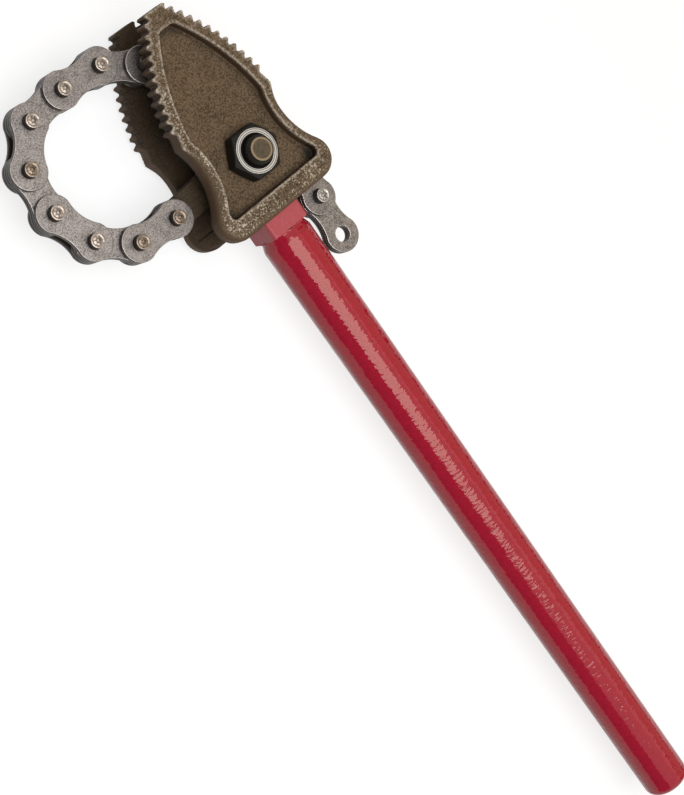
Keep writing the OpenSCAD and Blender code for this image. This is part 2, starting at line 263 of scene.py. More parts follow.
class StageSettings(bpy.types.PropertyGroup):
    """Studio"""

    key_power: FloatProperty(name="Key", description="Power of the round soft box", unit="POWER", default=20)
    fill_power: FloatProperty(name="Fill", description="Power of the side panel", unit="POWER", default=8)
    fill_colour: colour_prop("Fill colour", "Warm light of the side panel", "#ffedc4")
    ambient: FloatProperty(name="Ambient", description="Strength of the room's own light", default=0.06)
    floor: colour_prop("Floor", "Floor that lights the wrench from below", "#bcbcbc")
    shade: colour_prop("Shade", "Floor in view, on which the shadow falls", "#959595")
    glow: FloatProperty(name="Glow", description="Light of the floor in view", default=0.76)
    black_cloth: colour_prop("Black cloth", "Flag on the chain's side", "#272727")
    brown_cloth: colour_prop("Brown cloth", "Flag behind the side panel", "#a07c59")
    lens: FloatProperty(name="Lens", description="Focal length", unit="CAMERA", default=84.77)
    sensor: FloatProperty(name="Sensor", description="Longer side of the film", unit="CAMERA", default=36)
    azimuth: angle_prop("Azimuth", "Side from which the camera looks", 149.1)
    elevation: angle_prop("Elevation", "Height from which the camera looks", 61.034)
    roll: angle_prop("Roll", "Turn of the camera about its line of sight", 82.217)
    distance: length_prop("Distance", "From the camera to what it points at", 1045.7)


class WrenchSettings(bpy.types.PropertyGroup):
    """Sizes and colours of the wrench"""

    forging: PointerProperty(type=ForgingSettings)
    paint: PointerProperty(type=PaintSettings)
    chain: PointerProperty(type=ChainSettings)
    fasteners: PointerProperty(type=FastenerSettings)
    stage: PointerProperty(type=StageSettings)


def select_only(obj):
    """Make one object the only selected one, and the active one."""
    bpy.ops.object.select_all(action="DESELECT")
    obj.select_set(True)
    bpy.context.view_layer.objects.active = obj


def give(obj, material):
    """Let a piece wear one material."""
    obj.data.materials.clear()
    obj.data.materials.append(material)


def merged_copy(name, suffix):
    """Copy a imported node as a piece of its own, with its loose triangles joined at their corners."""
    select_only(frame["nodes"][name])
    bpy.ops.object.duplicate()
    piece = bpy.context.view_layer.objects.active
    piece.name = name + suffix
    del piece["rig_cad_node"]
    bpy.ops.object.mode_set(mode="EDIT")
    bpy.ops.mesh.select_all(action="SELECT")
    bpy.ops.mesh.remove_doubles(threshold=SAME_POINT)
    bpy.ops.mesh.customdata_custom_splitnormals_clear()
    bpy.ops.object.mode_set(mode="OBJECT")
    return piece


def stand_for(piece, name, material):
    """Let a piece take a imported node's place, body and finish."""
    give(piece, material)
    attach(piece, BODY_OF[name])
    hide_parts(name)


def soft_skin(piece, cell):
    """Wrap the active piece in an even skin and soften its edges once, as hammer scale does."""
    skin = piece.modifiers.new("skin", "REMESH")
    skin.mode = "VOXEL"
    skin.voxel_size = cell
    skin.use_smooth_shade = True
    piece.modifiers.new("soften", "SMOOTH")
    for modifier in ("skin", "soften"):
        bpy.ops.object.modifier_apply(modifier=modifier)


def join_flat_faces():
    """Join the active piece's triangles into whole faces."""
    bpy.ops.object.mode_set(mode="EDIT")
    bpy.ops.mesh.select_all(action="SELECT")
    bpy.ops.mesh.dissolve_limited(angle_limit=FLAT_ANGLE)
    bpy.ops.object.mode_set(mode="OBJECT")


def break_edges(piece, width):
    """Round the active piece's sharp edges and keep its flat faces flat in the light."""
    join_flat_faces()
    bpy.ops.object.shade_smooth()
    bevel = piece.modifiers.new("broken_edges", "BEVEL")
    bevel.width = width
    bevel.segments = EDGE_STEPS
    bevel.limit_method = "ANGLE"
    bevel.angle_limit = SHARP_ANGLE
    bevel.use_clamp_overlap = False
    flat = piece.modifiers.new("flat_faces", "WEIGHTED_NORMAL")
    flat.weight = FLAT_WEIGHT
    for modifier in ("broken_edges", "flat_faces"):
        bpy.ops.object.modifier_apply(modifier=modifier)


def forged_brown():
    """Drop-forged steel, oil-browned: blasted grain, painted shade on walls, in hollows and between the
    jaws, worn edges and rim with painted highlights.
    """
    look = bpy.context.scene.wrench.forging
    blotch_in_scale, blotch_in_wear = 0.15, 0.35
    material, tree = new_material("oil_browned_forging")
    place = put(tree, "ShaderNodeTexCoord").outputs["Object"]
    normal = put(tree, "ShaderNodeNewGeometry").outputs["Normal"]
    spot_at = put(tree, "ShaderNodeSeparateXYZ", {0: place}).outputs
    slope = put(tree, "ShaderNodeSeparateXYZ", {0: normal}).outputs["Z"]
    flat = put(tree, "ShaderNodeMath", {0: slope}, operation="ABSOLUTE")
    blotch = put(tree, "ShaderNodeTexNoise", {"Vector": place, "Scale": 1 / look.blotch, "Detail": 4.0})
    # blasted grain is finer than this; drawn at 0.9 mm so that it shows
    grain = put(tree, "ShaderNodeTexNoise", {"Vector": place, "Scale": 1 / look.grain, "Detail": 3.0,
                                             "Roughness": 0.75})
    # bare flecks and painted glints are as fine as the grain; drawn at 1 mm so that they show
    fleck = put(tree, "ShaderNodeTexNoise", {"Vector": place, "Scale": 1 / look.fleck, "Detail": 3.0})
    tone = put(tree, "ShaderNodeMath",
               {0: blotch.outputs["Fac"], 1: blotch_in_scale, 2: grain.outputs["Fac"]},
               operation="MULTIPLY_ADD")
    body = put(tree, "ShaderNodeMapRange", {"Value": tone.outputs[0], "From Min": 0.46, "From Max": 0.68})
    scale = put(tree, "ShaderNodeMix", {0: body.outputs[0], 6: look.dark, 7: look.brown}, data_type="RGBA")
    # painted shade: the steeper a face, the more of the darker wall colour it takes
    level = put(tree, "ShaderNodeMapRange", {"Value": flat.outputs[0], "From Min": 0.5, "From Max": 0.97})
    steep = put(tree, "ShaderNodeMix", {0: level.outputs[0], 6: look.wall_shade, 7: scale.outputs[2]},
                data_type="RGBA")
    # painted shade: the faces between the jaws, in the front jaw's shadow, are drawn dark, and brown takes
    # over a little way out from them
    off_middle = put(tree, "ShaderNodeMath", {0: spot_at["Z"], 1: MIDDLE}, operation="SUBTRACT")
    outward = put(tree, "ShaderNodeMath", {0: off_middle.outputs[0]}, operation="ABSOLUTE")
    shaded_to = look.inner_face + 0.6 * MM
    brown_from = look.inner_face + 4 * MM
    outer = put(tree, "ShaderNodeMapRange", {"Value": outward.outputs[0], "From Min": shaded_to,
                                             "From Max": brown_from, "To Min": 0.25})
    between = put(tree, "ShaderNodeMix", {0: outer.outputs[0], 6: look.inner, 7: steep.outputs[2]},
                  data_type="RGBA")
    # painted shade: ambient occlusion darkens hollows, corners and the foot of walls
    hollow = put(tree, "ShaderNodeAmbientOcclusion", {"Distance": look.hollow}, samples=4, only_local=True)
    unshaded = put(tree, "ShaderNodeMapRange", {"Value": hollow.outputs["AO"], "From Min": 0.5,
                                             "From Max": 0.74})
    shade = put(tree, "ShaderNodeMix", {0: unshaded.outputs[0], 6: look.hollow_shade, 7: between.outputs[2]},
                data_type="RGBA")
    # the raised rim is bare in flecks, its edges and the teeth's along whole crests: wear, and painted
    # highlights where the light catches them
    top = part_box("front_jaw")[1].z - MIDDLE
    rim_from, rim_full = top - 0.9 * MM, top - 0.1 * MM
    crest_from, crest_full = top - 2.5 * MM, top - 1 * MM
    rim = put(tree, "ShaderNodeMapRange", {"Value": outward.outputs[0], "From Min": rim_from,
                                           "From Max": rim_full})
    often = put(tree, "ShaderNodeMath",
                {0: blotch.outputs["Fac"], 1: blotch_in_wear, 2: fleck.outputs["Fac"]},
                operation="MULTIPLY_ADD")
    spot = put(tree, "ShaderNodeMapRange", {"Value": often.outputs[0], "From Min": 0.72, "From Max": 0.84})
    rim_spot = put(tree, "ShaderNodeMath", {0: rim.outputs[0], 1: spot.outputs[0]}, operation="MULTIPLY")
    # painted highlight: flecks are drawn more on the loop's side and the base than on the far side, where
    # the light glints
    lean_y, most_at, least_at = 0.6, -12 * MM, 50 * MM
    lean = put(tree, "ShaderNodeMath", {0: spot_at["Y"], 1: lean_y, 2: spot_at["X"]},
               operation="MULTIPLY_ADD")
    glint_mask = put(tree, "ShaderNodeMapRange", {"Value": lean.outputs[0], "From Min": most_at,
                                              "From Max": least_at, "To Min": 0.95, "To Max": 0.2})
    flecked = put(tree, "ShaderNodeMath", {0: rim_spot.outputs[0], 1: glint_mask.outputs[0]},
                  operation="MULTIPLY")
    # painted highlight with wear: convex edges near the top are drawn light
    edge = put(tree, "ShaderNodeAmbientOcclusion", {"Distance": look.crest}, samples=4, inside=True,
               only_local=True)
    sharp = put(tree, "ShaderNodeMapRange", {"Value": edge.outputs["AO"], "From Min": 0.88,
                                             "From Max": 0.66})
    patchy = put(tree, "ShaderNodeMapRange", {"Value": fleck.outputs["Fac"], "From Min": 0.35,
                                              "From Max": 0.55})
    crest = put(tree, "ShaderNodeMath", {0: sharp.outputs[0], 1: patchy.outputs[0]}, operation="MULTIPLY")
    upper = put(tree, "ShaderNodeMapRange", {"Value": outward.outputs[0], "From Min": crest_from,
                                             "From Max": crest_full})
    exposed = put(tree, "ShaderNodeMath", {0: crest.outputs[0], 1: upper.outputs[0]}, operation="MULTIPLY")
    bare_and_glint = put(tree, "ShaderNodeMath", {0: flecked.outputs[0], 1: exposed.outputs[0]}, operation="MAXIMUM")
    colour = put(tree, "ShaderNodeMix", {0: bare_and_glint.outputs[0], 6: shade.outputs[2], 7: look.worn_and_glint},
                 data_type="RGBA")
    rough = put(tree, "ShaderNodeMapRange", {"Value": grain.outputs["Fac"], "To Min": 0.75, "To Max": 0.5})
    bump = put(tree, "ShaderNodeBump", {"Height": grain.outputs["Fac"], "Distance": look.relief})
    surface = put(tree, "ShaderNodeBsdfPrincipled", {
        "Base Color": colour.outputs[2], "Roughness": rough.outputs[0], "Normal": bump.outputs[0],
        "Specular IOR Level": 0.2})
    put(tree, "ShaderNodeOutputMaterial", {"Surface": surface.outputs[0]})
    return material


def red_enamel():
    """Dipped enamel: glossy, with a fine ripple that frays the edge of its highlight; the collar is dull,
    with painted sheen.
    """
    look = bpy.context.scene.wrench.paint
    sag_share = 1.5
    material, tree = new_material("red_enamel")
    place = put(tree, "ShaderNodeTexCoord").outputs["Object"]
    # the ripple is wider across the grip than along it
    along = put(tree, "ShaderNodeMapping", {"Vector": place, "Scale": (0.6, 1.0, 0.6)})
    ripple = put(tree, "ShaderNodeTexNoise", {"Vector": along.outputs[0], "Scale": 1 / look.ripple,
                                              "Detail": 1.0})
    sag = put(tree, "ShaderNodeTexNoise", {"Vector": along.outputs[0], "Scale": 1 / look.sag, "Detail": 1.0})
    relief = put(tree, "ShaderNodeMath", {0: sag.outputs["Fac"], 1: sag_share, 2: ripple.outputs["Fac"]},
                 operation="MULTIPLY_ADD")
    depth = put(tree, "ShaderNodeMapRange", {"Value": ripple.outputs["Fac"], "From Min": 0.35,
                                             "From Max": 0.65})
    colour = put(tree, "ShaderNodeMix", {0: depth.outputs[0], 6: look.deep, 7: look.red}, data_type="RGBA")
    bump = put(tree, "ShaderNodeBump", {"Height": relief.outputs[0], "Distance": look.relief})
    # the square collar is duller than the round grip, and drawn paler as a painted sheen of the soft box on
    # its flat top
    length = put(tree, "ShaderNodeSeparateXYZ", {0: place}).outputs["Y"]
    collar_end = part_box("front_jaw")[0].y - look.collar
    square = put(tree, "ShaderNodeMapRange", {"Value": length, "From Min": collar_end - look.blend,
                                              "From Max": collar_end + look.blend})
    paint = put(tree, "ShaderNodeMix", {0: square.outputs[0], 6: colour.outputs[2], 7: look.collar_sheen},
                data_type="RGBA")
    rough = put(tree, "ShaderNodeMapRange", {"Value": square.outputs[0], "To Min": 0.06, "To Max": 0.45})
    surface = put(tree, "ShaderNodeBsdfPrincipled", {
        "Base Color": paint.outputs[2], "Roughness": rough.outputs[0], "Normal": bump.outputs[0],
        "IOR": 1.44, "Specular Tint": look.gloss})
    put(tree, "ShaderNodeOutputMaterial", {"Surface": surface.outputs[0]})
    return material


def tumbled_plate():
    """Blanked spring steel, tumbled: satin grey, peppered with dull marks, painted shade on its sides,
    painted highlights on its edges.
    """
    look = bpy.context.scene.wrench.chain
    patch_share = 0.25
    material, tree = new_material("tumbled_plate_steel")
    place = put(tree, "ShaderNodeTexCoord").outputs["Object"]
    normal = put(tree, "ShaderNodeNewGeometry").outputs["Normal"]
    slope = put(tree, "ShaderNodeSeparateXYZ", {0: normal}).outputs["Z"]
    height = put(tree, "ShaderNodeSeparateXYZ", {0: place}).outputs["Z"]
    off_middle = put(tree, "ShaderNodeMath", {0: height, 1: MIDDLE}, operation="SUBTRACT")
    away = put(tree, "ShaderNodeMath", {0: off_middle.outputs[0]}, operation="SIGN")
    # one on faces turned away from the chain's middle; those turned to it, between the plates, take the
    # painted shade of the sides
    flat = put(tree, "ShaderNodeMath", {0: slope, 1: away.outputs[0]}, operation="MULTIPLY")
    # tumbling leaves marks well under half a millimetre; drawn at 0.9 mm so that they show
    marks = put(tree, "ShaderNodeTexNoise", {"Vector": place, "Scale": 1 / look.mark, "Detail": 4.0,
                                             "Roughness": 0.7})
    patch = put(tree, "ShaderNodeTexNoise", {"Vector": place, "Scale": 1 / look.patch, "Detail": 3.0})
    tone = put(tree, "ShaderNodeMath", {0: patch.outputs["Fac"], 1: patch_share, 2: marks.outputs["Fac"]},
               operation="MULTIPLY_ADD")
    body = put(tree, "ShaderNodeMapRange", {"Value": tone.outputs[0], "From Min": 0.5, "From Max": 0.72})
    colour = put(tree, "ShaderNodeMix", {0: body.outputs[0], 6: look.plate_dark, 7: look.plate},
                 data_type="RGBA")
    # painted highlight: the rounded edges of the outer faces are drawn light
    edge = put(tree, "ShaderNodeMapRange", {"Value": flat.outputs[0], "From Min": 0.98, "From Max": 0.9,
                                            "To Max": 0.8})
    # painted shade: side faces are drawn dark
    side = put(tree, "ShaderNodeMapRange", {"Value": flat.outputs[0], "From Min": 0.6, "From Max": 0.8})
    glint_mask = put(tree, "ShaderNodeMath", {0: edge.outputs[0], 1: side.outputs[0]}, operation="MULTIPLY")
    sided = put(tree, "ShaderNodeMix", {0: side.outputs[0], 6: look.plate_side_shade, 7: colour.outputs[2]},
                data_type="RGBA")
    light = toned(look.plate, PLATE_EDGE_GLINT)
    bright = put(tree, "ShaderNodeMix", {0: glint_mask.outputs[0], 6: sided.outputs[2], 7: light},
                 data_type="RGBA")
    metal = put(tree, "ShaderNodeMapRange", {"Value": side.outputs[0], "To Min": 0.0, "To Max": 0.7})
    rough = put(tree, "ShaderNodeMapRange", {"Value": marks.outputs["Fac"], "To Min": 0.42, "To Max": 0.26})
    bump = put(tree, "ShaderNodeBump", {"Height": marks.outputs["Fac"], "Distance": look.mark_depth})
    surface = put(tree, "ShaderNodeBsdfPrincipled", {
        "Base Color": bright.outputs[2], "Roughness": rough.outputs[0], "Normal": bump.outputs[0],
        "Metallic": metal.outputs[0], "Specular IOR Level": 0.2})
    put(tree, "ShaderNodeOutputMaterial", {"Surface": surface.outputs[0]})
    return material


def pin_steel(name, colour):
    """Hardened pin steel: a dull heat tint in patches, sides drawn nearly black as painted shade, lighter on
    its end.
    """
    look = bpy.context.scene.wrench.chain
    material, tree = new_material(name)
    place = put(tree, "ShaderNodeTexCoord").outputs["Object"]
    normal = put(tree, "ShaderNodeNewGeometry").outputs["Normal"]
    slope = put(tree, "ShaderNodeSeparateXYZ", {0: normal}).outputs["Z"]
    flat = put(tree, "ShaderNodeMath", {0: slope}, operation="ABSOLUTE")
    tint = put(tree, "ShaderNodeTexNoise", {"Vector": place, "Scale": 1 / look.tint, "Detail": 3.0})
    dark = toned(colour, DULL)
    # painted shade: the pin's sides are drawn nearly black
    side = toned(colour, PIN_SIDE_SHADE)
    body = put(tree, "ShaderNodeMapRange", {"Value": tint.outputs["Fac"], "From Min": 0.38, "From Max": 0.6})
    base = put(tree, "ShaderNodeMix", {0: body.outputs[0], 6: dark, 7: colour}, data_type="RGBA")
    end = put(tree, "ShaderNodeMapRange", {"Value": flat.outputs[0], "From Min": 0.2, "From Max": 0.8})
    tone = put(tree, "ShaderNodeMix", {0: end.outputs[0], 6: side, 7: base.outputs[2]}, data_type="RGBA")
    metal = put(tree, "ShaderNodeMapRange", {"Value": end.outputs[0], "To Max": 0.75})
    rough = put(tree, "ShaderNodeMapRange", {"Value": end.outputs[0], "To Min": 0.6, "To Max": 0.36})
    surface = put(tree, "ShaderNodeBsdfPrincipled", {
        "Base Color": tone.outputs[2], "Roughness": rough.outputs[0], "Metallic": metal.outputs[0],
        "Specular IOR Level": 0.25})
    put(tree, "ShaderNodeOutputMaterial", {"Surface": surface.outputs[0]})
    return material


def nut_black():
    """Black-oxide nut whose outer face was turned bright: fine lathe rings round the bolt's axis."""
    look = bpy.context.scene.wrench.fasteners
    low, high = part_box("jaw_nut")
    face_r = (high.y - low.y) / 2 * look.face_share
    bore_r = face_r - look.ring_width
    material, tree = new_material("black_oxide_nut")
    place = put(tree, "ShaderNodeTexCoord").outputs["Object"]
    across = put(tree, "ShaderNodeVectorMath", {0: place, 1: (1.0, 1.0, 0.0)}, operation="MULTIPLY")
    radius = put(tree, "ShaderNodeVectorMath", {0: across.outputs[0]}, operation="LENGTH").outputs["Value"]
    height = put(tree, "ShaderNodeSeparateXYZ", {0: place}).outputs["Z"]
    inside = put(tree, "ShaderNodeMath", {0: radius, 1: face_r + look.face_over}, operation="LESS_THAN")
    outside = put(tree, "ShaderNodeMath", {0: radius, 1: bore_r}, operation="GREATER_THAN")
    on_top = put(tree, "ShaderNodeMath", {0: height, 1: high.z - look.face_depth}, operation="GREATER_THAN")
    band = put(tree, "ShaderNodeMath", {0: inside.outputs[0], 1: outside.outputs[0]}, operation="MULTIPLY")
    turned = put(tree, "ShaderNodeMath", {0: band.outputs[0], 1: on_top.outputs[0]}, operation="MULTIPLY")
    # lathe rings are finer than this; drawn over a millimetre apart so that they show
    wave = put(tree, "ShaderNodeMath", {0: radius, 1: 2 * math.pi / look.turning}, operation="MULTIPLY")
    ring = put(tree, "ShaderNodeMath", {0: wave.outputs[0]}, operation="SINE")
    groove = put(tree, "ShaderNodeMapRange", {"Value": ring.outputs[0], "From Min": -1.0, "To Min": 0.2})
    silver = put(tree, "ShaderNodeMix", {0: 1.0, 6: look.ring, 7: groove.outputs[0]}, data_type="RGBA",
                 blend_type="MULTIPLY")
    grain = put(tree, "ShaderNodeTexNoise", {"Vector": place, "Scale": 1 / look.oxide, "Detail": 3.0})
    oxide = put(tree, "ShaderNodeMapRange", {"Value": grain.outputs["Fac"], "To Min": 0.6, "To Max": 1.4})
    black = put(tree, "ShaderNodeMix", {0: 1.0, 6: look.black, 7: oxide.outputs[0]}, data_type="RGBA",
                blend_type="MULTIPLY")
    colour = put(tree, "ShaderNodeMix", {0: turned.outputs[0], 6: black.outputs[2], 7: silver.outputs[2]},
                 data_type="RGBA")
    metal = put(tree, "ShaderNodeMapRange", {"Value": turned.outputs[0], "To Min": 0.0, "To Max": 0.95})
    rough = put(tree, "ShaderNodeMapRange", {"Value": turned.outputs[0], "To Min": 0.6, "To Max": 0.32})
    bump = put(tree, "ShaderNodeBump", {"Height": grain.outputs["Fac"], "Distance": look.relief})
    surface = put(tree, "ShaderNodeBsdfPrincipled", {
        "Base Color": colour.outputs[2], "Roughness": rough.outputs[0], "Metallic": metal.outputs[0],
        "Normal": bump.outputs[0], "Specular IOR Level": 0.15})
    put(tree, "ShaderNodeOutputMaterial", {"Surface": surface.outputs[0]})
    return material


def bolt_brown():
    """Bolt steel with a brown oxide: dull on its ends, sides drawn black as painted shade in the thread, a
    painted highlight on its rim.
    """
    look = bpy.context.scene.wrench.fasteners
    material, tree = new_material("browned_bolt_steel")
    place = put(tree, "ShaderNodeTexCoord").outputs["Object"]
    normal = put(tree, "ShaderNodeNewGeometry").outputs["Normal"]
    slope = put(tree, "ShaderNodeSeparateXYZ", {0: normal}).outputs["Z"]
    flat = put(tree, "ShaderNodeMath", {0: slope}, operation="ABSOLUTE")
    grain = put(tree, "ShaderNodeTexNoise", {"Vector": place, "Scale": 1 / look.grain, "Detail": 4.0})
    body = put(tree, "ShaderNodeMapRange", {"Value": grain.outputs["Fac"], "From Min": 0.3, "From Max": 0.7})
    dark = toned(look.bolt, DULL)
    base = put(tree, "ShaderNodeMix", {0: body.outputs[0], 6: dark, 7: look.bolt}, data_type="RGBA")
    # painted shade: the bolt's sides, where the thread lies in shadow, are drawn in the nut's black
    end = put(tree, "ShaderNodeMapRange", {"Value": flat.outputs[0], "From Min": 0.85, "From Max": 0.98})
    tone = put(tree, "ShaderNodeMix", {0: end.outputs[0], 6: look.black, 7: base.outputs[2]},
               data_type="RGBA")
    across = put(tree, "ShaderNodeVectorMath", {0: place, 1: (1.0, 1.0, 0.0)}, operation="MULTIPLY")
    radius = put(tree, "ShaderNodeVectorMath", {0: across.outputs[0]}, operation="LENGTH").outputs["Value"]
    # painted highlight: a light ring on the rim of the bolt's end
    past = put(tree, "ShaderNodeMapRange", {"Value": radius, "From Min": look.rim_inner - look.rim_blend,
                                            "From Max": look.rim_inner + look.rim_blend})
    within = put(tree, "ShaderNodeMath", {0: radius, 1: look.rim_outer}, operation="LESS_THAN")
    rim = put(tree, "ShaderNodeMath", {0: past.outputs[0], 1: within.outputs[0]}, operation="MULTIPLY")
    rim_glint = put(tree, "ShaderNodeMath", {0: rim.outputs[0], 1: end.outputs[0]}, operation="MULTIPLY")
    light = toned(look.bolt, BOLT_RIM_GLINT)
    worn_and_glint = put(tree, "ShaderNodeMix", {0: rim_glint.outputs[0], 6: tone.outputs[2], 7: light},
               data_type="RGBA")
    surface = put(tree, "ShaderNodeBsdfPrincipled", {
        "Base Color": worn_and_glint.outputs[2], "Roughness": 0.5, "Metallic": 0.2, "Specular IOR Level": 0.2})
    put(tree, "ShaderNodeOutputMaterial", {"Surface": surface.outputs[0]})
    return material


class WRENCH_OT_forge_jaws(bpy.types.Operator):
    """Give both jaws and the anchor link a forged skin with soft edges and hammer scale"""

    bl_idname = "wrench.forge_jaws"
    bl_label = "Forge jaws and anchor link"

    def execute(self, context):
        look = context.scene.wrench.forging
        material = forged_brown()
        scale = bpy.data.textures.new("hammer_scale", "CLOUDS")
        scale.noise_scale = look.hammer
        scale.noise_depth = 3
        for name in FORGINGS:
            forging = merged_copy(name, "_forging")
            soft_skin(forging, look.voxel)
            uneven = forging.modifiers.new("uneven", "DISPLACE")
            uneven.texture = scale
            uneven.strength = look.uneven
            bpy.ops.object.modifier_apply(modifier="uneven")
            stand_for(forging, name, material)
        return {"FINISHED"}


class WRENCH_OT_paint_handle(bpy.types.Operator):
    """Enamel the handle: paint rounds the long edges of its shank and follows the round grip"""

    bl_idname = "wrench.paint_handle"
    bl_label = "Paint handle"

    # a long edge of the shank: least length, and least share of it that runs along the handle
    least_length = 8 * MM
    least_along = 0.98
    smooth_angle = math.radians(40)

    def execute(self, context):
        handle = merged_copy("handle", "_enamelled")
        join_flat_faces()
        bpy.ops.object.mode_set(mode="EDIT")
        bpy.ops.mesh.select_mode(type="EDGE")
        bpy.ops.mesh.select_all(action="DESELECT")
        bpy.ops.mesh.edges_select_sharp(sharpness=SHARP_ANGLE)
        bpy.ops.object.mode_set(mode="OBJECT")
        points = handle.data.vertices
        for edge in handle.data.edges:
            start, end = (points[i].co for i in edge.vertices)
            run = end - start
            lengthwise = abs(run.y) > self.least_along * run.length
            edge.select = edge.select and lengthwise and run.length > self.least_length
        bpy.ops.object.mode_set(mode="EDIT")
        bpy.ops.mesh.bevel(offset=context.scene.wrench.paint.edge, segments=EDGE_STEPS, affect="EDGES")
        bpy.ops.object.mode_set(mode="OBJECT")
        bpy.ops.object.shade_smooth()
        flat = handle.modifiers.new("flat_faces", "WEIGHTED_NORMAL")
        flat.weight = FLAT_WEIGHT
        flat.keep_sharp = True
        bpy.ops.object.shade_smooth_by_angle(angle=self.smooth_angle)
        bpy.ops.object.modifier_apply(modifier="flat_faces")
        stand_for(handle, "handle", red_enamel())
        return {"FINISHED"}


class WRENCH_OT_finish_bolt_and_nut(bpy.types.Operator):
    """Brown the bolt, blacken the nut and turn the nut's face bright"""

    bl_idname = "wrench.finish_bolt_and_nut"
    bl_label = "Finish bolt and nut"

    def execute(self, context):
        edge = context.scene.wrench.fasteners.edge
        finishes = (("jaw_bolt", "bolt_steel", bolt_brown()), ("jaw_nut", "nut_steel", nut_black()))
        for name, slot, material in finishes:
            piece = merged_copy(name, "_finished")
            break_edges(piece, edge)
            stand_for(piece, name, material)
        return {"FINISHED"}


class WRENCH_OT_finish_chain_plates(bpy.types.Operator):
    """Tumble the chain plates: rounded edges and a satin finish"""

    bl_idname = "wrench.finish_chain_plates"
    bl_label = "Finish chain plates"

    def execute(self, context):
        material = tumbled_plate()
        for name in PLATES:
            plate = merged_copy(name, "_tumbled")
            break_edges(plate, context.scene.wrench.chain.edge)
            stand_for(plate, name, material)
        return {"FINISHED"}


class WRENCH_OT_rivet_chain_pins(bpy.types.Operator):
    """Model one riveted pin with punched ends and copy it to every joint of the chain"""

    bl_idname = "wrench.rivet_chain_pins"
    bl_label = "Rivet chain pins"

    sides = 48
    smooth_angle = math.radians(25)
    # turn from one pin's punch marks to the next pin's, in radians
    turn = 0.7
    # rolled rim, groove, raised ring and centre dimple of an end: the width of each against the pin's
    # radius, and how far what lies inside it then moves out
    rings = ((0.16, 0.1 * MM), (0.2, -0.25 * MM), (0.3, 0.2 * MM), (0.15, -0.6 * MM))
    # punch marks: where they start and end and their rim against the radius, their share of the ring, depth
    mark_from, mark_to, mark_rim = 0.3, 0.6, 0.03
    mark_share = 0.3
    mark_depth = 0.3 * MM
    # faces that look outwards more than this belong to the end
    least_outward = 0.5

    def execute(self, context):
        look = context.scene.wrench.chain
        low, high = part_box(PINS[0])
        radius, length = (high.x - low.x) / 2, high.z - low.z
        bpy.ops.object.select_all(action="DESELECT")
        bpy.ops.mesh.primitive_cylinder_add(vertices=self.sides, radius=radius, depth=length)
        pattern = context.active_object
        pattern.name = "pin_pattern"
        bpy.ops.object.mode_set(mode="EDIT")
        bpy.ops.mesh.select_mode(type="FACE")
        for end in (1, -1):
            self.punch(pattern, end, radius, look.spokes)
        bpy.ops.object.mode_set(mode="OBJECT")
        bpy.ops.object.shade_smooth_by_angle(angle=self.smooth_angle)
        plain = pin_steel("pin_steel", look.pin)
        finish = dict.fromkeys(BROWN_PINS, pin_steel("browned_pin_steel", look.brown_pin))
        finish[END_PIN] = pin_steel("bright_pin_steel", look.bright_pin)
        for number, name in enumerate(PINS):
            low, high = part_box(name)
            select_only(pattern)
            bpy.ops.object.duplicate()
            pin = context.view_layer.objects.active
            pin.name = name + "_rivet"
            turned = Matrix.Rotation(number * self.turn, 4, "Z")
            pin.matrix_world = Matrix.Translation((low + high) / 2) @ turned
            bpy.ops.object.transform_apply(location=True, rotation=True, scale=True)
            stand_for(pin, name, finish.get(name, plain))
        select_only(pattern)
        bpy.ops.object.delete()
        return {"FINISHED"}

    def punch(self, pattern, end, radius, spokes):
        """Shape one end: a rolled rim, a ring of punch marks and a centre dimple."""

        def pick(test):
            """Select the faces of this end that pass a test."""
            bpy.ops.mesh.select_all(action="DESELECT")
            bpy.ops.object.mode_set(mode="OBJECT")
            for face in pattern.data.polygons:
                face.select = face.normal.z * end > self.least_outward and test(face)
            bpy.ops.object.mode_set(mode="EDIT")

        def in_mark(face):
            """Tell whether a face lies in a punch mark."""
            out = math.hypot(face.center.x, face.center.y) / radius
            turn = math.atan2(face.center.y, face.center.x) * spokes / (2 * math.pi) % 1
            return self.mark_from < out < self.mark_to and turn < self.mark_share

        pick(lambda face: True)
        for width, rise in self.rings:
            bpy.ops.mesh.inset(thickness=width * radius, depth=0)
            bpy.ops.transform.translate(value=(0, 0, rise * end))
        pick(in_mark)
        bpy.ops.mesh.inset(thickness=self.mark_rim * radius, depth=-self.mark_depth)


